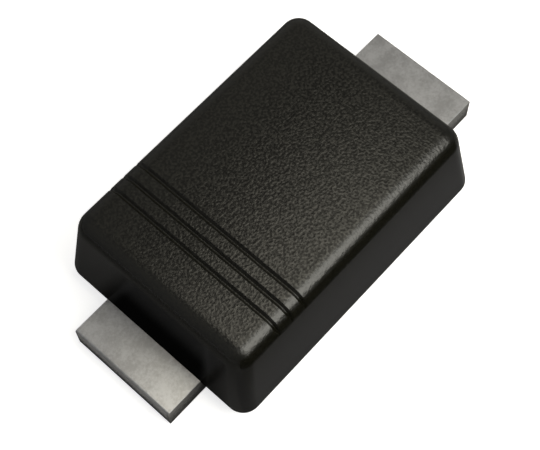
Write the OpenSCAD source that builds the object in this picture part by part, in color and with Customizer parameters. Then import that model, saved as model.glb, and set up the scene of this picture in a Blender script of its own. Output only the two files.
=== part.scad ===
// Schottky diode in a flat-lead surface-mount package: a moulded body with a grooved cathode band,
// two flat leads, and the soldered chip stack that the moulding encloses.
// Millimetres, +Z up. The leads' undersides lie on z = 0, the anode points to +X,
// and the origin is under the middle of the overall length.

/* [Moulded body] */
// Length of the body at the parting line
body_l = 2.8; // [2.7:0.01:3.2]
// Width of the body at the parting line
body_w = 1.97; // [1.7:0.01:2.4]
// Height of the top face above the board
body_h = 1.05; // [1.02:0.01:1.4]
// Draft of the walls above the parting line, in degrees
upper_draft = 7.8; // [4:0.1:12]
// Draft of the walls below the parting line, in degrees
lower_draft = 28; // [15:1:32]
// Corner radius in plan, at the parting line
corner_r = 0.15; // [0.14:0.01:0.3]
// Radius of the rounded edge around the top face
edge_r = 0.15; // [0.08:0.01:0.22]
// Height of the narrow upright land that the mould leaves at the parting line
land_h = 0.015; // [0.01:0.005:0.03]
// Gap between the body's underside and the board
standoff = 0.03; // [0.01:0.005:0.06]

/* [Cathode band] */
// Number of grooves across the top
groove_count = 3; // [1:1:4]
// Distance from one groove to the next
groove_pitch = 0.144; // [0.12:0.001:0.17]
// Width of a groove at the top face
groove_w = 0.048; // [0.04:0.002:0.08]
// Depth of a groove
groove_d = 0.018; // [0.01:0.001:0.02]
// Slope of a groove's sides from upright, in degrees
groove_draft = 43; // [20:1:44]
// Angle through which a groove follows the body's long edges before it runs out, in degrees
groove_turn = 48; // [10:1:55]
// Distance of the outermost groove from the cathode end of the body
band_inset = 0.526; // [0.44:0.001:0.6]

/* [Leads] */
// Thickness of the lead strip
lead_t = 0.25; // [0.2:0.01:0.27]
// Width of the feet
lead_w = 1.03; // [0.8:0.01:1.2]
// Length of the cathode foot outside the body
cathode_reach = 0.365; // [0.25:0.005:0.7]
// Length of the anode foot outside the body
anode_reach = 0.55; // [0.25:0.005:0.7]
// Length of each foot inside the body's end
foot_under = 0.3; // [0.2:0.01:0.34]
// Inner radius of the bends
bend_r = 0.06; // [0.04:0.005:0.07]
// Radius of the upper edge at the free end of a foot
end_r = 0.04; // [0.02:0.005:0.08]

/* [Die pad] */
// Height of the die pad's underside above the board
pad_rise = 0.12; // [0.11:0.005:0.15]
// Slope of the joggle up to the die pad, in degrees
pad_slope = 35; // [30:1:40]
// Length of the die pad
pad_l = 1.3; // [1.1:0.01:1.4]
// Width of the die pad
pad_w = 1.16; // [1:0.01:1.3]

/* [Chip] */
// Side of the square chip
die_w = 0.8; // [0.65:0.01:0.95]
// Thickness of the chip
die_t = 0.2; // [0.15:0.005:0.24]
// Thickness of each solder layer
solder_t = 0.03; // [0.02:0.005:0.04]

/* [Contact clip] */
// Width of the clip
clip_w = 0.7; // [0.6:0.01:0.9]
// Slope of the clip's rise from the anode foot, in degrees
clip_slope = 65; // [60:1:68]
// Diameter of the coined boss that meets the chip
boss_d = 0.5; // [0.3:0.01:0.6]
// Height of the coined boss
boss_h = 0.06; // [0.04:0.005:0.08]
// Length of the clip past the boss
clip_lip = 0.1; // [0.05:0.01:0.15]

/* [Hidden] */
$fn = 64;

// Segments of the shapes that the body's hull is stretched over
hull_fn = 32;
// How far a cut runs past the surface that it opens
cut_over = 0.1;
// Steps along each bend of a lead
arc_steps = 8;

// Where the body and the two ends of its parting line lie along X
body_x = (cathode_reach - anode_reach) / 2;
cathode_end_x = body_x - body_l / 2;
anode_end_x = body_x + body_l / 2;

// The parting line runs level with the upper faces of the feet
parting_z = lead_t;
edge_z = body_h - edge_r;
edge_inset = (edge_z - parting_z) * tan(upper_draft) + edge_r / cos(upper_draft);
floor_inset = (parting_z - land_h - standoff) * tan(lower_draft);

// A joggle is two equal bends with a straight ramp between them
mid_r = bend_r + lead_t / 2;
function ramp_l(rise, slope) = (rise - 2 * mid_r * (1 - cos(slope))) / sin(slope);
function joggle_l(rise, slope) = 2 * mid_r * sin(slope) + ramp_l(rise, slope) * cos(slope);

// The stack: pad, solder, chip, solder, boss, clip
pad_start = foot_under + joggle_l(pad_rise, pad_slope);
die_x = cathode_end_x + pad_start + pad_l / 2;
attach_z = pad_rise + lead_t;
die_z = attach_z + solder_t;
clip_solder_z = die_z + die_t;
boss_z = clip_solder_z + solder_t;
clip_rise = boss_z + boss_h;
clip_tip = anode_end_x - (die_x - boss_d / 2 - clip_lip);

// Stands a shape that was drawn in plan upright, so that its Y becomes Z
module upright() {
    rotate([90, 0, 0]) children();
}

// One copy of a shape at each corner of a rectangle about the origin
module at_corners(half_l, half_w) {
    for (x = [-half_l, half_l], y = [-half_w, half_w]) {
        translate([x, y, 0]) children();
    }
}

// A ball with true poles
module ball(r) {
    rotate_extrude($fn = hull_fn) intersection() {
        circle(r, $fn = hull_fn);
        translate([0, -r]) square([r, 2 * r]);
    }
}

// The body's outside: balls round the top face, discs at the parting line and at the underside
module body_shell() {
    hull() {
        translate([0, 0, edge_z]) at_corners(body_l / 2 - edge_inset, body_w / 2 - edge_inset) ball(edge_r);
        translate([0, 0, parting_z - land_h]) at_corners(body_l / 2 - corner_r, body_w / 2 - corner_r)
            cylinder(r = corner_r, h = land_h, $fn = hull_fn);
        translate([0, 0, standoff]) at_corners(body_l / 2 - corner_r, body_w / 2 - corner_r)
            cylinder(r = corner_r - floor_inset, h = land_h, $fn = hull_fn);
    }
}

// Section of a groove across its run, its top face on y = 0, and as far above it as the groove is deep
module groove_section() {
    lean = groove_d * tan(groove_draft);
    polygon([
        [-groove_w / 2 + lean, -groove_d],
        [groove_w / 2 - lean, -groove_d],
        [groove_w / 2 + lean, groove_d],
        [-groove_w / 2 - lean, groove_d]
    ]);
}

// Cutter for one groove, its top face on z = 0: straight across the top, round the edge's own centre
// on each side, and then straight on until it leaves the body
module groove() {
    edge_y = body_w / 2 - edge_inset;
    upright() linear_extrude(2 * edge_y, center = true) groove_section();
    for (side = [0, 1]) mirror([0, side, 0]) translate([0, edge_y, -edge_r]) {
        rotate([0, -90, 0]) rotate_extrude(angle = groove_turn) translate([edge_r, 0]) rotate(-90) groove_section();
        rotate([-groove_turn, 0, 0]) translate([0, edge_r, edge_r]) upright() linear_extrude(edge_r) groove_section();
    }
}

// The grooves that mark the cathode end
module cathode_band() {
    for (i = [0 : groove_count - 1]) {
        translate([cathode_end_x + band_inset + i * groove_pitch, 0, body_h]) groove();
    }
}

// Points along an arc
function arc(centre, r, from, to) = [
    for (i = [0 : arc_steps])
        let (a = from + (to - from) * i / arc_steps)
        centre + r * [cos(a), sin(a)]
];

// Side view of a lead whose package end is at x = 0: a flat foot with a rounded free end,
// a joggle of two equal bends, and a level stretch that ends at the tip
function lead_side(reach, rise, slope, tip) = let (
    lower_bend = [foot_under, lead_t + bend_r],
    upper_bend = [foot_under + joggle_l(rise, slope), rise - bend_r],
    outer_r = bend_r + lead_t
) concat(
    [[-reach, 0]],
    arc(lower_bend, outer_r, -90, slope - 90),
    arc(upper_bend, bend_r, slope + 90, 90),
    [[tip, rise], [tip, rise + lead_t]],
    arc(upper_bend, outer_r, 90, slope + 90),
    arc(lower_bend, bend_r, slope - 90, -90),
    arc([end_r - reach, lead_t - end_r], end_r, 90, 180)
);

// A lead bent from strip: its side view, cut to the plan outline that is given as a child
module bent_lead(reach, rise, slope, tip) {
    intersection() {
        upright() linear_extrude(body_w, center = true) polygon(lead_side(reach, rise, slope, tip));
        translate([0, 0, -cut_over]) linear_extrude(body_h + 2 * cut_over) children();
    }
}

// Plan of a straight stretch of a lead, centred on the X axis
module lead_plan(from, to, width) {
    translate([from, -width / 2]) square([to - from, width]);
}

// Epoxy body, cast around everything else
module moulded_body() {
    color("#2b2b29") difference() {
        translate([body_x, 0, 0]) body_shell();
        cathode_band();
        cathode_lead();
        anode_lead();
        schottky_die();
        die_attach_solder();
        clip_solder();
    }
}

// Cathode lead: foot, joggle and die pad from one strip
module cathode_lead() {
    pad_tip = pad_start + pad_l;
    color("#b9b9b5") translate([cathode_end_x, 0, 0]) bent_lead(cathode_reach, pad_rise, pad_slope, pad_tip) {
        lead_plan(-cathode_reach, pad_tip, lead_w);
        lead_plan(pad_start, pad_tip, pad_w);
    }
}

// Anode lead: foot, rise and contact clip from one strip, with a coined boss over the chip
module anode_lead() {
    color("#b9b9b5") union() {
        translate([anode_end_x, 0, 0]) mirror([1, 0, 0])
            bent_lead(anode_reach, clip_rise, clip_slope, clip_tip) {
                lead_plan(-anode_reach, foot_under, lead_w);
                lead_plan(-anode_reach, clip_tip, clip_w);
            }
        translate([die_x, 0, boss_z]) cylinder(d = boss_d, h = boss_h + lead_t / 2);
    }
}

// Silicon chip, its metal barrier face up
module schottky_die() {
    color("#5d6470") translate([die_x - die_w / 2, -die_w / 2, die_z]) cube([die_w, die_w, die_t]);
}

// Solder between the die pad and the chip
module die_attach_solder() {
    color("#8f9296") translate([die_x - die_w / 2, -die_w / 2, attach_z]) cube([die_w, die_w, solder_t]);
}

// Solder between the chip and the clip's boss
module clip_solder() {
    color("#8f9296") translate([die_x, 0, clip_solder_z]) cylinder(d = boss_d, h = solder_t);
}

moulded_body();
cathode_lead();
anode_lead();
schottky_die();
die_attach_solder();
clip_solder();
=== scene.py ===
"""Looks of a Schottky diode in a flat-lead package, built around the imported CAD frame.

Pieces are modelled at one Blender unit to the millimetre, so that their small bevels stay clear of
Blender's merge distances. Each finished mesh is then brought down to metres, in the frame's own place.
"""

import logging
import math
from contextlib import contextmanager
from dataclasses import dataclass, field
from enum import Enum
from typing import Any, Callable, Iterator, Mapping, Sequence

import bmesh
import bpy
from mathutils import Matrix, Vector


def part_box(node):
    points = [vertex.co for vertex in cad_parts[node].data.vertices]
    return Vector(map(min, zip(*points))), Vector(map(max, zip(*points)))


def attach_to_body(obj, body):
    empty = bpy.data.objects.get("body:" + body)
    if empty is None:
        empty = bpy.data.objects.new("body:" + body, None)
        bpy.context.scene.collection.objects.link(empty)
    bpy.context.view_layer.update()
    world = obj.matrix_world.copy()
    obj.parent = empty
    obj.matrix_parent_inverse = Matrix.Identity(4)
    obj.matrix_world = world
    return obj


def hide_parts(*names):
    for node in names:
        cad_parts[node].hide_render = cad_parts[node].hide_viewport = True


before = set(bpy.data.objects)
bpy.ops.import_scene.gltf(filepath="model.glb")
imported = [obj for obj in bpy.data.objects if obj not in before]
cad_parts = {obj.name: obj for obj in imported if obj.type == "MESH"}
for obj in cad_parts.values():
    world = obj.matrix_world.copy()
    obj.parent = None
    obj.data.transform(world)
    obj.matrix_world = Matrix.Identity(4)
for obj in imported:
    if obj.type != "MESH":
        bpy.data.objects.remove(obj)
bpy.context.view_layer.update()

LOG = logging.getLogger("diode")
MM = 0.001
# Distances below NEAR count as none, and a face whose normal has more than FACING of an axis faces along it
NEAR = 1e-4
FACING = 0.9
NOISE_MEAN = 0.5

Colour = tuple[float, float, float]
Span = tuple[float, float]
PairTest = Callable[[Vector, Vector], bool]


class Slot(Enum):
    """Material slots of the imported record."""

    EPOXY = "epoxy"
    TIN = "tinned_lead"
    SILICON = "silicon"
    SOLDER = "solder"


class End(Enum):
    """End of the package that a lead leaves from, as the sign of its way into the body along X."""

    CATHODE = 1
    ANODE = -1


def node_box(node: str) -> tuple[Vector, Vector]:
    """Gives the box of a CAD node in millimetres.

    Args:
        node: Name of the CAD node.

    Returns:
        Its lowest and highest corners.
    """
    low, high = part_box(node)
    return low / MM, high / MM


class Workpiece:
    """A mesh on the bench, in millimetres, with the hand tools that shape it."""

    ROUND_SIDES = 64
    FLAT_WEIGHT = 100

    def __init__(self, name: str) -> None:
        """Takes the primitive that was just added and sets its size and place into its mesh."""
        self.obj: bpy.types.Object = bpy.context.active_object
        self.obj.name = name
        self.obj.data.name = name
        bpy.ops.object.transform_apply(location=True, rotation=True, scale=True)

    @staticmethod
    def clear_bench() -> None:
        """Deselects everything."""
        bpy.ops.object.select_all(action="DESELECT")

    @classmethod
    def block(cls, name: str, low: Vector, high: Vector) -> "Workpiece":
        """Adds a block.

        Args:
            name: Name of the new object.
            low: Lowest corner.
            high: Highest corner.

        Returns:
            The block as a workpiece.
        """
        cls.clear_bench()
        bpy.ops.mesh.primitive_cube_add(size=1.0, location=(low + high) / 2, scale=high - low)
        return cls(name)

    @classmethod
    def strip(cls, name: str, centre: Vector, length: float, width: float) -> "Workpiece":
        """Adds a level rectangle.

        Args:
            name: Name of the new object.
            centre: Middle of the rectangle.
            length: Its size along X.
            width: Its size along Y.

        Returns:
            The rectangle as a workpiece.
        """
        cls.clear_bench()
        bpy.ops.mesh.primitive_plane_add(size=1.0, location=centre)
        bpy.context.active_object.scale = (length, width, 1.0)
        return cls(name)

    @classmethod
    def rod(cls, name: str, foot: Vector, diameter: float, height: float) -> "Workpiece":
        """Adds an upright rod.

        Args:
            name: Name of the new object.
            foot: Centre of its lower face.
            diameter: Its diameter.
            height: Its height.

        Returns:
            The rod as a workpiece.
        """
        cls.clear_bench()
        middle = foot + Vector((0.0, 0.0, height / 2))
        bpy.ops.mesh.primitive_cylinder_add(vertices=cls.ROUND_SIDES, radius=diameter / 2, depth=height,
                                            location=middle)
        return cls(name)

    def take_up(self) -> None:
        """Makes this the only selected object and the active one."""
        self.clear_bench()
        self.obj.select_set(True)
        bpy.context.view_layer.objects.active = self.obj

    @contextmanager
    def editing(self) -> Iterator[None]:
        """Holds the mesh in edit mode."""
        self.take_up()
        bpy.ops.object.mode_set(mode="EDIT")
        yield
        bpy.ops.object.mode_set(mode="OBJECT")

    def pick_faces(self, test: PairTest) -> None:
        """Selects, in edit mode, the faces that pass a test.

        Args:
            test: Takes a face's centre and normal.
        """
        bpy.ops.mesh.select_mode(type="FACE")
        bpy.ops.mesh.select_all(action="DESELECT")
        mesh = bmesh.from_edit_mesh(self.obj.data)
        for face in mesh.faces:
            face.select_set(test(face.calc_center_median(), face.normal))
        bmesh.update_edit_mesh(self.obj.data)

    def pick_edges(self, test: PairTest) -> None:
        """Selects, in edit mode, the edges that pass a test.

        Args:
            test: Takes the places of an edge's two ends.
        """
        bpy.ops.mesh.select_mode(type="EDGE")
        bpy.ops.mesh.select_all(action="DESELECT")
        mesh = bmesh.from_edit_mesh(self.obj.data)
        for edge in mesh.edges:
            edge.select_set(test(edge.verts[0].co, edge.verts[1].co))
        bmesh.update_edit_mesh(self.obj.data)

    def round_picked(self, offset: float, segments: int, profile: float = 0.5) -> None:
        """Bevels the picked edges to an arc.

        Args:
            offset: Distance from the edge to where the arc leaves each face.
            segments: Number of flats along the arc.
            profile: Fullness of the arc, 0.5 for a circle's.
        """
        bpy.ops.mesh.bevel(offset=offset, offset_type="OFFSET", segments=segments, profile=profile,
                           affect="EDGES", clamp_overlap=False)

    def extrude_picked(self, way: Vector) -> None:
        """Extrudes the picked edges or faces.

        Args:
            way: How far, along each axis.
        """
        bpy.ops.mesh.extrude_region_move(TRANSFORM_OT_translate={"value": way})

    def spin_picked(self, centre: Vector, angle: float, steps: int) -> None:
        """Sweeps the picked faces round an axis along X.

        Args:
            centre: A point on the axis.
            angle: How far, in degrees, clockwise as seen from +X.
            steps: Number of steps along the way.
        """
        bpy.ops.mesh.spin(steps=steps, angle=math.radians(angle), center=centre, axis=(1.0, 0.0, 0.0))

    def turn_outwards(self) -> None:
        """Merges doubled points and points every face outwards."""
        with self.editing():
            bpy.ops.mesh.select_all(action="SELECT")
            bpy.ops.mesh.remove_doubles(threshold=NEAR)
            bpy.ops.mesh.normals_make_consistent(inside=False)

    def modify(self, kind: str, **settings: Any) -> None:
        """Adds a modifier and applies it.

        Args:
            kind: Type of the modifier.
            **settings: Its settings.
        """
        self.take_up()
        modifier = self.obj.modifiers.new(kind.title(), kind)
        for name, value in settings.items():
            setattr(modifier, name, value)
        bpy.ops.object.modifier_apply(modifier=modifier.name)

    def cut_with(self, tool: "Workpiece") -> None:
        """Cuts another workpiece's shape out of this one."""
        self.modify("BOOLEAN", operation="DIFFERENCE", solver="EXACT", object=tool.obj)

    def weld(self, other: "Workpiece") -> None:
        """Joins another workpiece's solid to this one and scraps it."""
        self.modify("BOOLEAN", operation="UNION", solver="EXACT", object=other.obj)
        other.scrap()

    def scrap(self) -> None:
        """Removes the workpiece."""
        bpy.data.objects.remove(self.obj)

    def smooth(self, angle: float) -> None:
        """Shades faces smoothly and keeps the flats flat.

        Args:
            angle: Edges sharper than this, in degrees, stay crisp.
        """
        self.take_up()
        bpy.ops.object.shade_smooth_by_angle(angle=math.radians(angle), keep_sharp_edges=False)
        self.modify("WEIGHTED_NORMAL", keep_sharp=True, weight=self.FLAT_WEIGHT)

    def scale_to_metres(self) -> None:
        """Brings the mesh down from millimetres to metres."""
        self.take_up()
        self.obj.scale = (MM, MM, MM)
        bpy.ops.object.transform_apply(location=True, rotation=True, scale=True)

    def to_frame(self, node: str, slot: Slot, finish: bpy.types.Material) -> None:
        """Brings the finished mesh down to metres and sets it in the frame.

        Args:
            node: CAD node that the piece stands for.
            slot: Record slot that its finish comes from; not used.
            finish: Its material.
        """
        self.scale_to_metres()
        self.obj.data.materials.clear()
        self.obj.data.materials.append(finish)
        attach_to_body(self.obj, "root")
        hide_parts(node)
        LOG.info("%s: %d faces, for %s", self.obj.name, len(self.obj.data.polygons), node)


class Wire:
    """A number on its way through a shader: Python operators on it add Math nodes."""

    def __init__(self, sheet: "NodeSheet", socket: bpy.types.NodeSocket) -> None:
        """Wraps a socket of a node sheet."""
        self.sheet = sheet
        self.socket = socket

    def __add__(self, other: "Wire | float") -> "Wire":
        """Adds."""
        return self.sheet.maths("ADD", self, other)

    def __radd__(self, other: float) -> "Wire":
        """Adds, with the number first."""
        return self.sheet.maths("ADD", other, self)

    def __sub__(self, other: "Wire | float") -> "Wire":
        """Subtracts."""
        return self.sheet.maths("SUBTRACT", self, other)

    def __rsub__(self, other: float) -> "Wire":
        """Subtracts from a number."""
        return self.sheet.maths("SUBTRACT", other, self)

    def __mul__(self, other: "Wire | float") -> "Wire":
        """Multiplies."""
        return self.sheet.maths("MULTIPLY", self, other)

    def __rmul__(self, other: float) -> "Wire":
        """Multiplies, with the number first."""
        return self.sheet.maths("MULTIPLY", other, self)

    def __abs__(self) -> "Wire":
        """Takes off the sign."""
        return self.sheet.maths("ABSOLUTE", self)

    def larger(self, other: "Wire | float") -> "Wire":
        """Gives the larger of two numbers."""
        return self.sheet.maths("MAXIMUM", self, other)

    def rise(self, low: float, high: float) -> "Wire":
        """Gives a smooth step from 0 to 1.

        Args:
            low: Value where the step starts.
            high: Value where it is complete.

        Returns:
            The step.
        """
        return self.sheet.node("ShaderNodeMapRange", {"interpolation_type": "SMOOTHSTEP"},
                               {"Value": self, "From Min": low, "From Max": high})


class NodeSheet:
    """The node tree of one finish, drawn up from an empty sheet."""

    # Socket numbers of a Mix node that mixes colours
    MIX_SHARE = 0
    MIX_FIRST = 6
    MIX_SECOND = 7
    MIX_RESULT = 2

    def __init__(self, tree: bpy.types.NodeTree) -> None:
        """Clears a node tree to work on."""
        self.tree = tree
        tree.nodes.clear()

    @classmethod
    def for_material(cls, name: str) -> tuple["NodeSheet", bpy.types.Material]:
        """Starts a new material.

        Args:
            name: Its name.

        Returns:
            Its node sheet, and the material.
        """
        material = bpy.data.materials.new(name)
        material.use_nodes = True
        return cls(material.node_tree), material

    def node(self, kind: str, settings: Mapping[str, Any], sockets: Mapping[str | int, Any],
             output: str | int = 0) -> Wire:
        """Adds a node.

        Args:
            kind: Type of the node.
            settings: Its settings, set before its sockets.
            sockets: Values or wires for its inputs, by name or number.
            output: Which of its outputs to give back.

        Returns:
            That output.
        """
        made = self.tree.nodes.new(kind)
        for name, value in settings.items():
            setattr(made, name, value)
        for name, value in sockets.items():
            if isinstance(value, Wire):
                self.tree.links.new(value.socket, made.inputs[name])
            else:
                made.inputs[name].default_value = value
        outputs = made.outputs
        return Wire(self, outputs[output] if len(outputs) else made.inputs[0])

    def maths(self, operation: str, *values: "Wire | float") -> Wire:
        """Adds a Math node.

        Args:
            operation: What it does.
            *values: Its one or two inputs.

        Returns:
            Its result.
        """
        return self.node("ShaderNodeMath", {"operation": operation}, dict(enumerate(values)))

    def place(self) -> Wire:
        """Gives the point on the piece, in metres of its own frame."""
        return self.node("ShaderNodeTexCoord", {}, {}, "Object")

    def axis(self, place: Wire, name: str) -> Wire:
        """Gives one coordinate of a place in millimetres.

        Args:
            place: The place, in metres.
            name: X, Y or Z.

        Returns:
            That coordinate.
        """
        return self.node("ShaderNodeSeparateXYZ", {}, {0: place}, name) * (1.0 / MM)

    def noise(self, place: Wire, size: float, detail: float, rough: float) -> Wire:
        """Gives smooth noise between 0 and 1.

        Args:
            place: Where it is read.
            size: Size of its blotches in millimetres.
            detail: Number of finer layers.
            rough: How strongly the finer layers show.

        Returns:
            The noise.
        """
        scale = 1.0 / (size * MM)
        return self.node("ShaderNodeTexNoise", {},
                         {"Vector": place, "Scale": scale, "Detail": detail, "Roughness": rough})

    def mix(self, share: Wire, first: Wire | Colour, second: Wire | Colour) -> Wire:
        """Mixes two colours.

        Args:
            share: Share of the second colour.
            first: The first colour.
            second: The second colour.

        Returns:
            The mixed colour.
        """
        first, second = (end if isinstance(end, Wire) else (*end, 1.0) for end in (first, second))
        sockets = {self.MIX_SHARE: share, self.MIX_FIRST: first, self.MIX_SECOND: second}
        return self.node("ShaderNodeMix", {"data_type": "RGBA"}, sockets, self.MIX_RESULT)

    def bump(self, height: Wire, depth: float) -> Wire:
        """Turns a height into a tilt of the surface.

        Args:
            height: Height between 0 and 1.
            depth: Depth of the relief in millimetres.

        Returns:
            The surface normal.
        """
        return self.node("ShaderNodeBump", {}, {"Strength": 1.0, "Distance": depth * MM, "Height": height})

    def principled(self, **sockets: Any) -> Wire:
        """Adds a Principled shader.

        Args:
            **sockets: Its inputs, with underscores for spaces.

        Returns:
            The shader.
        """
        named = {name.replace("_", " "): value for name, value in sockets.items()}
        return self.node("ShaderNodeBsdfPrincipled", {}, named)

    def finish(self, shader: Wire) -> None:
        """Ends the sheet in a surface."""
        self.node("ShaderNodeOutputMaterial", {}, {"Surface": shader})


@dataclass(frozen=True)
class EpoxyFinish:
    """Black moulding compound: glossy walls, a pitted, worn grain on top with painted shade in its hollows,
    and painted shade on the cathode end wall over the lead.

    Lengths are in millimetres. A span runs from where a smooth step starts to where it is complete.
    """

    body_x: float
    body_half_l: float
    dark: Colour = (0.0041, 0.0039, 0.0023)
    pale: Colour = (0.0068, 0.0065, 0.0039)
    shade_span: Span = (0.35, 0.65)
    top_roughness: float = 0.32
    wall_roughness: float = 0.25
    specular_level: float = 0.60
    grain_size: float = 0.0218
    grain_detail: float = 1.5
    grain_rough: float = 0.5
    grain_depth: float = 0.0032
    grain_z: Span = (0.975, 1.030)
    # Painted shade in the grain's hollows: where the relief is low enough, and how strong it is.
    pit_span: Span = (0.37, 0.66)
    pit_z: Span = (1.038, 1.0495)
    pit_shade_share: float = 0.535
    worn_y: Span = (0.15, 0.9)
    worn_share: float = 0.6
    end_wear: float = 0.42
    wear_band: float = 0.52
    # Painted shade on the cathode end wall over the lead: its colour, roughness, strength, slant and bounds.
    painted_shade: Colour = (0.0007, 0.0007, 0.0007)
    painted_shade_roughness: float = 0.9
    painted_shade_share: float = 0.97
    painted_shade_slant: float = 2.35
    painted_shade_right: Span = (-0.78, -0.48)
    painted_shade_left: Span = (1.25, 1.92)
    painted_shade_top: Span = (0.90, 0.98)
    # The painted shade thins towards the top of the wall.
    thin_z: Span = (0.50, 0.90)
    thin_share: float = 0.25
    # A fainter band of painted shade to the right of the patch.
    faint_shade_start: Span = (-1.15, -0.60)
    faint_shade_stop: Span = (-0.62, -0.30)
    faint_shade_share: float = 0.68
    # How far in from the cathode end the painted shade reaches, and over what length it fades in.
    end_band: float = 0.18
    end_fade: float = 0.08

    def make(self) -> bpy.types.Material:
        """Builds the material."""
        sheet, material = NodeSheet.for_material("black_epoxy")
        place = sheet.place()
        x, y, z = (sheet.axis(place, name) for name in "XYZ")
        top = z.rise(*self.grain_z)
        kept = self.unworn(x, y)
        pitted = z.rise(*self.pit_z) * kept
        grain = sheet.noise(place, self.grain_size, self.grain_detail, self.grain_rough)
        # Painted shade in the grain's hollows, where its relief is lowest.
        pit_shade = 1.0 - grain.rise(*self.pit_span)
        clean = sheet.principled(
            Base_Color=sheet.mix(grain.rise(*self.shade_span), self.dark, self.pale),
            Roughness=top * (self.top_roughness - self.wall_roughness) + self.wall_roughness,
            Normal=sheet.bump(grain * top * kept, self.grain_depth),
            Specular_IOR_Level=self.specular_level,
        )
        # A dark matt shader without reflection: painted shade over the cathode lead and in the grain's
        # hollows.
        painted_shade_shader = sheet.principled(Base_Color=(*self.painted_shade, 1.0), Roughness=self.painted_shade_roughness,
                                   Specular_IOR_Level=0.0)
        share = self.painted_shade_mask(x, y, z).larger(pit_shade * pitted * self.pit_shade_share)
        sheet.finish(sheet.node("ShaderNodeMixShader", {}, {0: share, 1: clean, 2: painted_shade_shader}))
        return material

    def unworn(self, x: Wire, y: Wire) -> Wire:
        """Gives the share of the grain that wear has left.

        Args:
            x: Place along the body.
            y: Place across the body.

        Returns:
            The share.
        """
        side = y.rise(*self.worn_y) * self.worn_share
        ends = abs(x - self.body_x).rise(self.body_half_l - self.wear_band, self.body_half_l) * self.end_wear
        return (1.0 - side) * (1.0 - ends)

    def painted_shade_mask(self, x: Wire, y: Wire, z: Wire) -> Wire:
        """Gives the share of painted shade on the cathode end wall over the lead, with a fainter band of
        painted shade to its right.

        Args:
            x: Place along the body.
            y: Place across the body.
            z: Height.

        Returns:
            The share.
        """
        end_from = self.body_half_l - self.end_band
        at_end = (self.body_x - x).rise(end_from, end_from + self.end_fade) * (1.0 - z.rise(*self.painted_shade_top))
        across = y.rise(*self.painted_shade_right) * (1.0 - (z + y * self.painted_shade_slant).rise(*self.painted_shade_left))
        # Painted shade across the end wall, slanting and thinning upwards.
        painted_shade = across * (1.0 - z.rise(*self.thin_z) * self.thin_share) * self.painted_shade_share
        # A fainter band of painted shade towards the -Y corner of the end wall.
        faint_shade = y.rise(*self.faint_shade_start) * (1.0 - y.rise(*self.faint_shade_stop)) * self.faint_shade_share
        return at_end * painted_shade.larger(faint_shade)


@dataclass(frozen=True)
class TinFinish:
    """Matte tin plating, with the stamped side faces darker than the plating: burnished above, fractured
    below, the dark lower zone partly painted shade at the foot. The free ends carry a paler colour as
    painted light, and darken towards the foot as painted shade.

    Lengths are in millimetres. Stamped and end shade spans are shares of the strip's thickness, and corner
    and lip spans are distances in from the strip's rim and down from its upper face.
    """

    half_length: float
    half_width: float
    strip_t: float
    pale: Colour = (0.708, 0.711, 0.722)
    dull: Colour = (0.555, 0.554, 0.557)
    burnished: Colour = (0.47, 0.464, 0.453)
    # Colour of the lower zone of the cut faces: the real fracture zone, made darker as painted shade at the
    # foot.
    torn_and_shaded: Colour = (0.13, 0.127, 0.123)
    # Colour of the free ends, made paler as painted light.
    painted_light_end: Colour = (0.90, 0.89, 0.87)
    metallic: float = 0.93
    roughness: float = 0.36
    roughness_swing: float = 0.2
    cut_roughness: float = 0.55
    blotch_size: float = 0.16
    blotch_detail: float = 4.0
    blotch_share: float = 0.65
    grain_size: float = 0.020
    grain_detail: float = 3.0
    grain_depth: float = 0.0008
    noise_rough: float = 0.6
    plated_span: Span = (0.36, 0.64)
    tear_depth: float = 0.4
    stamped_span: Span = (0.05, 0.95)
    end_shade_span: Span = (0.1, 0.7)
    corner: Span = (0.034, 0.034 / 3)
    lip: Span = (0.03, 0.002)

    def make(self) -> bpy.types.Material:
        """Builds the material."""
        sheet, material = NodeSheet.for_material("matte_tin")
        place = sheet.place()
        x, y, z = (sheet.axis(place, name) for name in "XYZ")
        side = abs(y).rise(*(self.half_width - inset for inset in self.corner))
        end = abs(x).rise(*(self.half_length - inset for inset in self.corner))
        below = 1.0 - z.rise(*(self.strip_t - depth for depth in self.lip))
        cut = side * below
        blotch = sheet.noise(place, self.blotch_size, self.blotch_detail, self.noise_rough)
        grain = sheet.noise(place, self.grain_size, self.grain_detail, self.noise_rough)
        mottle = blotch * self.blotch_share + grain * (1.0 - self.blotch_share)
        tear = z + (grain - NOISE_MEAN) * self.tear_depth
        # Side faces: burnished above and darker below, the dark lower zone partly painted shade at the foot.
        stamped = sheet.mix(tear.rise(*(self.strip_t * share for share in self.stamped_span)),
                            self.torn_and_shaded, self.burnished)
        plated = sheet.mix(mottle.rise(*self.plated_span), self.dull, self.pale)
        # Free ends: a paler colour as painted light, darkening to painted shade at the foot.
        painted_light_end = sheet.mix(tear.rise(*(self.strip_t * share for share in self.end_shade_span)),
                            self.torn_and_shaded, self.painted_light_end)
        swing = (mottle - NOISE_MEAN) * self.roughness_swing
        sheet.finish(sheet.principled(
            Base_Color=sheet.mix(cut, sheet.mix(end * below, plated, painted_light_end), stamped),
            Metallic=self.metallic,
            Roughness=swing + self.roughness + cut * (self.cut_roughness - self.roughness),
            Normal=sheet.bump(grain * (cut + 1.0), self.grain_depth),
        ))
        return material


@dataclass(frozen=True)
class InnerFinish:
    """A dull surface inside the moulding, mottled by one noise. Lengths are in millimetres."""

    name: str
    dark: Colour
    pale: Colour
    metallic: float
    roughness: float
    roughness_swing: float
    mottle_size: float
    mottle_detail: float
    mottle_rough: float
    mottle_depth: float

    def make(self) -> bpy.types.Material:
        """Builds the material."""
        sheet, material = NodeSheet.for_material(self.name)
        mottle = sheet.noise(sheet.place(), self.mottle_size, self.mottle_detail, self.mottle_rough)
        sheet.finish(sheet.principled(
            Base_Color=sheet.mix(mottle, self.dark, self.pale),
            Metallic=self.metallic,
            Roughness=mottle * self.roughness_swing + self.roughness,
            Normal=sheet.bump(mottle, self.mottle_depth),
        ))
        return material


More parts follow.
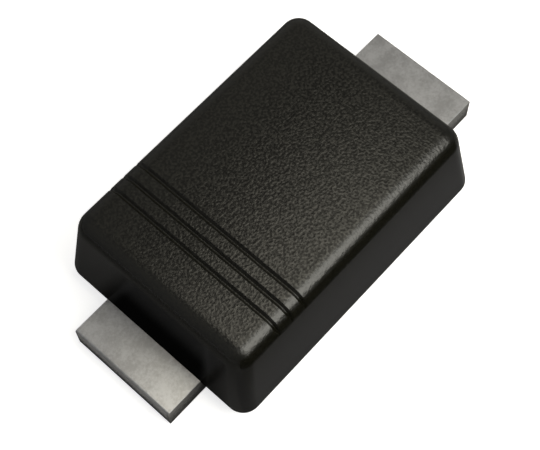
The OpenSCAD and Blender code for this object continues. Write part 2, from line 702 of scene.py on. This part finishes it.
GROUND_SILICON = InnerFinish(
    name="ground_silicon",
    dark=(0.10, 0.11, 0.14),
    pale=(0.19, 0.20, 0.23),
    metallic=0.6,
    roughness=0.2,
    roughness_swing=0.2,
    mottle_size=0.02,
    mottle_detail=4.0,
    mottle_rough=0.65,
    mottle_depth=0.0008,
)
DULL_SOLDER = InnerFinish(
    name="dull_solder",
    dark=(0.32, 0.32, 0.33),
    pale=(0.50, 0.50, 0.51),
    metallic=1.0,
    roughness=0.35,
    roughness_swing=0.25,
    mottle_size=0.03,
    mottle_detail=3.0,
    mottle_rough=0.6,
    mottle_depth=0.002,
)


@dataclass
class FlatLead:
    """A lead of flat strip: a foot, a joggle of two bends, and a level stretch inside the body."""

    end: End
    node: str
    package_x: float
    free_x: float
    tip_x: float
    foot_w: float
    inner_w: float
    rise: float
    slope: float
    strip_t: float = 0.25
    foot_under: float = 0.30
    bend_r: float = 0.06
    end_r: float = 0.019
    edge_r: float = 0.004
    edge_segments: int = 3
    edge_angle: float = 50.0
    smooth_angle: float = 40.0
    bend_segments: int = 10
    piece: Workpiece = field(init=False)

    def inward(self, distance: float, height: float) -> Vector:
        """Gives the point on the strip's middle plane at a distance inside the package end."""
        return Vector((self.package_x + self.end.value * distance, 0.0, height + self.strip_t / 2))

    def build(self, name: str) -> Workpiece:
        """Models the lead.

        Args:
            name: Name of the piece.

        Returns:
            The lead, in millimetres.
        """
        mid_r = self.bend_r + self.strip_t / 2
        slope = math.radians(self.slope)
        tangent = mid_r * math.tan(slope / 2)
        reach = self.end.value * (self.free_x - self.package_x)
        tip = self.end.value * (self.tip_x - self.package_x)
        corner_low = self.foot_under + tangent
        corner_high = corner_low + self.rise / math.tan(slope)
        free, low = self.inward(reach, 0.0), self.inward(corner_low, 0.0)
        high, last = self.inward(corner_high, self.rise), self.inward(tip, self.rise)
        narrow_w = min(self.foot_w, self.inner_w)
        self.piece = Workpiece.strip(name, (free + low) / 2, abs(low.x - free.x), narrow_w)
        self.bend_strip(low, high, last, tangent)
        self.widen_strip(narrow_w, free, high, tangent)
        self.piece.modify("SOLIDIFY", thickness=self.strip_t, offset=0.0, use_even_offset=True)
        self.piece.turn_outwards()
        self.round_end()
        return self.piece

    def bend_strip(self, low: Vector, high: Vector, last: Vector, tangent: float) -> None:
        """Draws the strip on up the joggle and into the body, and rounds its two bends.

        Args:
            low: Corner between foot and ramp.
            high: Corner between ramp and level stretch.
            last: Tip of the level stretch.
            tangent: Distance from a corner to where its bend starts.
        """
        with self.piece.editing():
            self.piece.pick_edges(lambda a, b: abs(a.x - low.x) < NEAR and abs(b.x - low.x) < NEAR)
            self.piece.extrude_picked(high - low)
            self.piece.extrude_picked(last - high)
            self.piece.pick_edges(lambda a, b: any(
                abs(a.x - corner.x) < NEAR and abs(b.x - corner.x) < NEAR for corner in (low, high)))
            self.piece.round_picked(tangent, self.bend_segments)

    def widen_strip(self, narrow_w: float, free: Vector, high: Vector, tangent: float) -> None:
        """Draws the wider stretch out sideways.

        Args:
            narrow_w: Width of the strip so far.
            free: Free end of the foot.
            high: Corner between ramp and level stretch.
            tangent: Distance from a corner to where its bend starts.
        """
        wide_foot = self.foot_w > self.inner_w
        level_start = high.x + self.end.value * tangent
        way = self.end.value

        def on_side(a: Vector, b: Vector, side: int) -> bool:
            """Says whether an edge is on one side of the stretch that gets wider."""
            if any(abs(p.y - side * narrow_w / 2) > NEAR for p in (a, b)):
                return False
            if wide_foot:
                return all(abs(p.z - free.z) < NEAR for p in (a, b))
            return all(way * (p.x - level_start) > -NEAR for p in (a, b))

        extra = abs(self.foot_w - self.inner_w) / 2
        with self.piece.editing():
            for side in (-1, 1):
                self.piece.pick_edges(lambda a, b: on_side(a, b, side))
                self.piece.extrude_picked(Vector((0.0, side * extra, 0.0)))

    def round_end(self) -> None:
        """Rounds the upper edge at the foot's free end."""
        with self.piece.editing():
            self.piece.pick_edges(lambda a, b: all(
                abs(p.x - self.free_x) < NEAR and abs(p.z - self.strip_t) < NEAR for p in (a, b)))
            self.piece.round_picked(self.end_r, self.bend_segments // 2)

    def break_edges(self) -> None:
        """Takes the sharpness off the edges and shades the lead."""
        self.piece.modify("BEVEL", width=self.edge_r, segments=self.edge_segments, limit_method="ANGLE",
                          angle_limit=math.radians(self.edge_angle), use_clamp_overlap=True)
        self.piece.turn_outwards()
        self.piece.smooth(self.smooth_angle)


@dataclass
class MouldedBody:
    """The epoxy body: drafted walls, rounded edges, a parting land and the grooves of the cathode band."""

    parting_z: float = 0.25
    upper_draft: float = 7.8
    lower_draft: float = 28.0
    corner_r: float = 0.15
    edge_r: float = 0.15
    edge_spread: float = 1.1
    edge_fullness: float = 0.54
    land_h: float = 0.015
    land_r: float = 0.004
    groove_count: int = 3
    groove_pitch: float = 0.144
    groove_w: float = 0.048
    groove_d: float = 0.021
    groove_draft: float = 43.0
    groove_turn: float = 48.0
    groove_edge_r: float = 0.004
    band_inset: float = 0.526
    arc_segments: int = 16
    break_segments: int = 2
    break_angle: float = 40.0
    smooth_angle: float = 35.0
    low: Vector = field(init=False)
    high: Vector = field(init=False)
    piece: Workpiece = field(init=False)

    def __post_init__(self) -> None:
        """Reads the body's box from the frame."""
        self.low, self.high = node_box("moulded_body")

    def build(self, inserts: Sequence[Workpiece]) -> Workpiece:
        """Models the body.

        Args:
            inserts: What the body is cast around.

        Returns:
            The body, in millimetres.
        """
        foot = Vector((self.low.x, self.low.y, self.parting_z))
        self.piece = Workpiece.block("epoxy_body", foot, self.high)
        self.draft_walls()
        self.round_edges()
        self.add_lower_half()
        self.cut_band()
        for insert in inserts:
            self.piece.cut_with(insert)
        self.piece.turn_outwards()
        self.piece.smooth(self.smooth_angle)
        return self.piece

    def draft_walls(self) -> None:
        """Draws the top face in, so that the walls slope."""
        lean = (self.high.z - self.parting_z) * math.tan(math.radians(self.upper_draft))
        size = self.high - self.low
        share = Vector((1.0 - 2 * lean / size.x, 1.0 - 2 * lean / size.y, 1.0))
        with self.piece.editing():
            self.piece.pick_faces(lambda centre, normal: normal.z > FACING)
            bpy.ops.transform.resize(value=share)

    def round_edges(self) -> None:
        """Rounds the upright corners and then the edge round the top face."""
        turn = math.radians(90.0 - self.upper_draft)
        with self.piece.editing():
            self.piece.pick_edges(lambda a, b: abs(a.z - b.z) > NEAR)
            self.piece.round_picked(self.corner_r, self.arc_segments)
            self.piece.pick_edges(lambda a, b: min(a.z, b.z) > self.high.z - NEAR)
            offset = self.edge_spread * self.edge_r * math.tan(turn / 2)
            self.piece.round_picked(offset, self.arc_segments, self.edge_fullness)

    def add_lower_half(self) -> None:
        """Adds the parting land and the lower walls, drawn in towards the underside."""
        drop = self.parting_z - self.land_h - self.low.z
        with self.piece.editing():
            self.piece.pick_faces(lambda centre, normal: normal.z < -FACING)
            self.piece.extrude_picked(Vector((0.0, 0.0, -self.land_h)))
            bpy.ops.mesh.inset(thickness=drop * math.tan(math.radians(self.lower_draft)), depth=0.0)
            bpy.ops.transform.translate(value=Vector((0.0, 0.0, -drop)))
            for height in (self.parting_z, self.parting_z - self.land_h):
                self.piece.pick_edges(lambda a, b: all(abs(p.z - height) < NEAR for p in (a, b)))
                self.piece.round_picked(self.land_r, self.break_segments)

    def cut_band(self) -> None:
        """Cuts the grooves across the top and breaks their edges."""
        cutter = self.groove_cutter()
        cutter.modify("ARRAY", count=self.groove_count, use_relative_offset=False, use_constant_offset=True,
                      constant_offset_displace=(self.groove_pitch, 0.0, 0.0))
        self.piece.cut_with(cutter)
        cutter.scrap()
        self.piece.modify("BEVEL", width=self.groove_edge_r, segments=self.break_segments,
                          limit_method="ANGLE", angle_limit=math.radians(self.break_angle),
                          use_clamp_overlap=False)

    def groove_cutter(self) -> Workpiece:
        """Makes the cutter of the first groove: straight across the top, round both edges, and out."""
        draft = math.radians(self.upper_draft)
        edge_z = self.high.z - self.edge_r
        edge_y = self.high.y - (edge_z - self.parting_z) * math.tan(draft) - self.edge_r / math.cos(draft)
        lean = self.groove_d * math.tan(math.radians(self.groove_draft))
        middle = Vector((self.low.x + self.band_inset, 0.0, self.high.z))
        reach = Vector((self.groove_w / 2 + lean, edge_y, self.groove_d))
        cutter = Workpiece.block("groove_cutter", middle - reach, middle + reach)
        turn = math.radians(self.groove_turn)
        with cutter.editing():
            cutter.pick_faces(lambda centre, normal: normal.z < -FACING)
            bpy.ops.transform.resize(value=((self.groove_w / 2 - lean) / reach.x, 1.0, 1.0))
            for side in (-1, 1):
                cutter.pick_faces(lambda centre, normal: normal.y * side > FACING)
                cutter.spin_picked(Vector((middle.x, side * edge_y, edge_z)), side * self.groove_turn,
                                   self.arc_segments)
                cutter.extrude_picked(Vector((0.0, side * math.cos(turn), -math.sin(turn))) * self.edge_r)
        cutter.turn_outwards()
        return cutter


@dataclass
class ChipStack:
    """The soldered chip that the moulding hides: three carried-over CAD nodes."""

    die: str = "schottky_die"
    attach: str = "die_attach_solder"
    contact: str = "clip_solder"
    overlap: float = 0.01

    def contact_rod(self, name: str, foot_z: float, height: float) -> Workpiece:
        """Adds an upright rod in line with the contact's solder, and as wide.

        Args:
            name: Name of the new object.
            foot_z: Height of its lower face above the board.
            height: Its own height.

        Returns:
            The rod as a workpiece.
        """
        low, high = node_box(self.contact)
        return Workpiece.rod(name, Vector(((low.x + high.x) / 2, 0.0, foot_z)), high.x - low.x, height)

    def seats(self) -> list[Workpiece]:
        """Makes the tools that cut the stack's seat, each running a little into its neighbours' seats."""
        attach_low, _ = node_box(self.attach)
        _, die_high = node_box(self.die)
        contact_low, contact_high = node_box(self.contact)
        contact_h = contact_high.z - contact_low.z
        return [
            Workpiece.block("chip_seat", attach_low - Vector((0.0, 0.0, self.overlap)), die_high),
            self.contact_rod("contact_seat", contact_low.z - self.overlap, contact_h + 2 * self.overlap),
        ]

    def dress(self) -> None:
        """Gives the three CAD nodes their finishes."""
        silicon, solder = GROUND_SILICON.make(), DULL_SOLDER.make()
        for name, finish, slot in ((self.die, silicon, Slot.SILICON), (self.attach, solder, Slot.SOLDER),
                                   (self.contact, solder, Slot.SOLDER)):
            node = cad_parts[name]
            node.data.materials.clear()
            node.data.materials.append(finish)
            LOG.info("%s: CAD node with %s", name, finish.name)


@dataclass
class Diode:
    """The whole part: body, leads and chip. Lengths are in millimetres and slopes in degrees."""

    pad_slope: float = 35.0
    clip_slope: float = 65.0
    clip_w: float = 0.7
    anode_end_r: float = 0.012
    boss_over: float = 0.125

    def leads(self) -> tuple[FlatLead, FlatLead]:
        """Reads both leads' sizes from the frame."""
        body_low, body_high = node_box("moulded_body")
        cathode_low, cathode_high = node_box("cathode_lead")
        anode_low, anode_high = node_box("anode_lead")
        foot_w = anode_high.y - anode_low.y
        cathode = FlatLead(
            end=End.CATHODE,
            node="cathode_lead",
            package_x=body_low.x,
            free_x=cathode_low.x,
            tip_x=cathode_high.x,
            foot_w=foot_w,
            inner_w=cathode_high.y - cathode_low.y,
            rise=cathode_high.z - FlatLead.strip_t,
            slope=self.pad_slope,
        )
        anode = FlatLead(
            end=End.ANODE,
            node="anode_lead",
            package_x=body_high.x,
            free_x=anode_high.x,
            tip_x=anode_low.x,
            foot_w=foot_w,
            inner_w=self.clip_w,
            rise=anode_high.z - FlatLead.strip_t,
            slope=self.clip_slope,
            end_r=self.anode_end_r,
        )
        return cathode, anode

    def build(self) -> None:
        """Models and dresses every piece."""
        cathode, anode = self.leads()
        stack = ChipStack()
        cathode_piece = cathode.build("tin_cathode_lead")
        anode_piece = anode.build("tin_anode_lead")
        _, contact_high = node_box(stack.contact)
        boss_h = anode.rise - contact_high.z + self.boss_over
        anode_piece.weld(stack.contact_rod("boss", contact_high.z, boss_h))
        cathode.break_edges()
        anode.break_edges()
        seats = stack.seats()
        body = MouldedBody()
        body_piece = body.build([cathode_piece, anode_piece, *seats])
        for seat in seats:
            seat.scrap()
        tin = TinFinish(
            half_length=anode.free_x,
            half_width=anode.foot_w / 2,
            strip_t=anode.strip_t,
        ).make()
        epoxy = EpoxyFinish(
            body_x=(body.low.x + body.high.x) / 2,
            body_half_l=(body.high.x - body.low.x) / 2,
        ).make()
        body_piece.to_frame("moulded_body", Slot.EPOXY, epoxy)
        cathode_piece.to_frame(cathode.node, Slot.TIN, tin)
        anode_piece.to_frame(anode.node, Slot.TIN, tin)
        stack.dress()


def sight_line(azimuth: float, elevation: float) -> Vector:
    """Gives the direction towards a point round the part.

    Args:
        azimuth: Angle about Z in degrees, 0 on the -Y side and 90 on the +X side.
        elevation: Angle above the floor in degrees.

    Returns:
        The direction, one long.
    """
    turn, lift = math.radians(azimuth), math.radians(elevation)
    return Vector((math.sin(turn) * math.cos(lift), -math.cos(turn) * math.cos(lift), math.sin(lift)))


@dataclass(frozen=True)
class Lamp:
    """A soft lamp over the part. Distances are in millimetres, and its size is its width and height."""

    name: str
    azimuth: float
    elevation: float
    distance: float
    size: tuple[float, float]
    radiance: float
    colour: Colour = (1.0, 1.0, 1.0)
    sideways: float = 0.0

    def hang(self, target: Vector) -> None:
        """Hangs the lamp.

        Args:
            target: Point that it looks at, in metres.
        """
        data = bpy.data.lights.new(self.name, "AREA")
        data.shape = "RECTANGLE"
        data.size, data.size_y = (side * MM for side in self.size)
        data.energy = self.radiance * math.pi * data.size * data.size_y
        data.color = self.colour
        lamp = bpy.data.objects.new(self.name, data)
        lamp.visible_camera = False
        bpy.context.scene.collection.objects.link(lamp)
        away = sight_line(self.azimuth, self.elevation)
        level = sight_line(self.azimuth + 90.0, 0.0)
        lamp.location = target + (away * self.distance + level * self.sideways) * MM
        lamp.rotation_euler = away.to_track_quat("Z", "Y").to_euler()


@dataclass(frozen=True)
class PhotoCamera:
    """The photograph's camera, found from the part's own corners. Distances are in millimetres."""

    azimuth: float = -45.0782
    elevation: float = 65.7139
    roll: float = -2.8566
    distance: float = 10.848
    shift_right: float = -0.0175
    shift_up: float = -0.0444
    lens: float = 87.867
    sensor: float = 36.0
    near: float = 0.1
    far: float = 1000.0

    def place(self, target: Vector) -> None:
        """Sets the camera up.

        Args:
            target: Point that it is aimed about, in millimetres.
        """
        back = sight_line(self.azimuth, self.elevation)
        turn, roll = math.radians(self.azimuth), math.radians(self.roll)
        level = Vector((math.cos(turn), math.sin(turn), 0.0))
        upward = back.cross(level)
        right = level * math.cos(roll) + upward * math.sin(roll)
        up = upward * math.cos(roll) - level * math.sin(roll)
        stand = target + back * self.distance + right * self.shift_right + up * self.shift_up
        data = bpy.data.cameras.new("photo_camera")
        data.lens = self.lens
        data.sensor_width = self.sensor
        data.clip_start = self.near * MM
        data.clip_end = self.far * MM
        camera = bpy.data.objects.new("photo_camera", data)
        bpy.context.scene.collection.objects.link(camera)
        turned = Matrix((right, up, back)).transposed().to_4x4()
        camera.matrix_world = Matrix.Translation(stand * MM) @ turned
        bpy.context.scene.camera = camera


@dataclass(frozen=True)
class Card:
    """A card beside the part, which shows only in reflections. Its two corners are in millimetres."""

    name: str
    low: tuple[float, float, float]
    high: tuple[float, float, float]
    colour: Colour
    roughness: float = 0.9

    def set_up(self) -> None:
        """Sets the card in its place."""
        piece = Workpiece.block(self.name, Vector(self.low), Vector(self.high))
        sheet, material = NodeSheet.for_material(self.name)
        sheet.finish(sheet.principled(Base_Color=(*self.colour, 1.0), Roughness=self.roughness))
        piece.obj.data.materials.append(material)
        piece.scale_to_metres()
        piece.obj.visible_camera = False
        piece.obj.visible_diffuse = False
        piece.obj.visible_shadow = False


@dataclass
class Studio:
    """A white floor, soft lamps, cards that shape the reflections, and the camera."""

    floor_size: float = 400.0
    floor_colour: Colour = (0.86, 0.86, 0.86)
    floor_lift: float = 0.74
    sky_colour: Colour = (0.136, 0.136, 0.140)
    cards: tuple[Card, ...] = (
        Card("front_card", (-2.0, -1.05, 0.002), (1.9, 0.62, 0.003), (0.262, 0.262, 0.273)),
        Card("left_card", (-2.0, 0.62, 0.002), (1.9, 1.49, 0.003), (0.15, 0.15, 0.157)),
        Card("right_card", (-2.0, -1.40, 0.002), (1.9, -1.05, 0.003), (0.165, 0.166, 0.184)),
        Card("dark_card", (-2.0, -1.64, 0.002), (1.9, -1.40, 0.003), (0.09, 0.09, 0.095)),
        Card("outer_card", (-30.0, -30.0, 0.0), (30.0, 30.0, 0.001), (0.20, 0.20, 0.204)),
        Card("black_card", (-2.2, -1.70, 0.0), (2.2, -1.64, 1.34), (0.03, 0.03, 0.03)),
    )
    lamps: tuple[Lamp, ...] = (
        Lamp("key_lamp", azimuth=13.0, elevation=54.2, distance=8.0, size=(5.8, 5.8), radiance=4.65,
             colour=(1.0, 0.98, 0.89)),
        Lamp("top_lamp", azimuth=90.0, elevation=82.5, distance=5.64, size=(2.1, 3.9), radiance=2.85,
             colour=(1.0, 0.945, 0.79), sideways=-0.10),
        Lamp("fill_lamp", azimuth=135.0, elevation=30.0, distance=9.0, size=(14.0, 9.0), radiance=0.141,
             colour=(1.0, 0.95, 0.82)),
        Lamp("side_lamp", azimuth=-125.0, elevation=45.0, distance=9.0, size=(12.0, 9.0), radiance=0.062),
    )

    def build(self) -> None:
        """Sets up the stage, the light and the camera."""
        low, high = node_box("moulded_body")
        target = Vector(((low.x + high.x) / 2, 0.0, MouldedBody.parting_z))
        self.lay_floor()
        for card in self.cards:
            card.set_up()
        self.light_sky()
        for lamp in self.lamps:
            lamp.hang(target * MM)
        PhotoCamera().place(target)
        bpy.context.scene.view_settings.view_transform = "Standard"
        LOG.info("studio: %d lamps, floor, cards and camera", len(self.lamps))

    def lay_floor(self) -> None:
        """Lays the white floor, which takes the part's shadow."""
        Workpiece.clear_bench()
        bpy.ops.mesh.primitive_plane_add(size=self.floor_size * MM)
        floor = bpy.context.active_object
        floor.name = "floor"
        sheet, material = NodeSheet.for_material("white_floor")
        seen = sheet.node("ShaderNodeLightPath", {}, {}, "Is Camera Ray")
        mirrored = sheet.node("ShaderNodeLightPath", {}, {}, "Is Glossy Ray")
        through = sheet.node("ShaderNodeLightPath", {}, {}, "Is Transmission Ray")
        matte = sheet.node("ShaderNodeBsdfDiffuse", {}, {"Color": (*self.floor_colour, 1.0)})
        glow = (seen + mirrored + through) * self.floor_lift
        lift = sheet.node("ShaderNodeEmission", {}, {"Strength": glow})
        sheet.finish(sheet.node("ShaderNodeAddShader", {}, {0: matte, 1: lift}))
        floor.data.materials.append(material)

    def light_sky(self) -> None:
        """Gives the room an even, dim light."""
        world = bpy.data.worlds.new("studio_room")
        world.use_nodes = True
        sheet = NodeSheet(world.node_tree)
        sky = sheet.node("ShaderNodeBackground", {}, {"Color": (*self.sky_colour, 1.0), "Strength": 1.0})
        sheet.node("ShaderNodeOutputWorld", {}, {"Surface": sky})
        bpy.context.scene.world = world


def main() -> None:
    """Builds the part and the studio."""
    logging.basicConfig(level=logging.INFO, format="%(name)s: %(message)s")
    Diode().build()
    Studio().build()


if __name__ == "__main__":
    main()
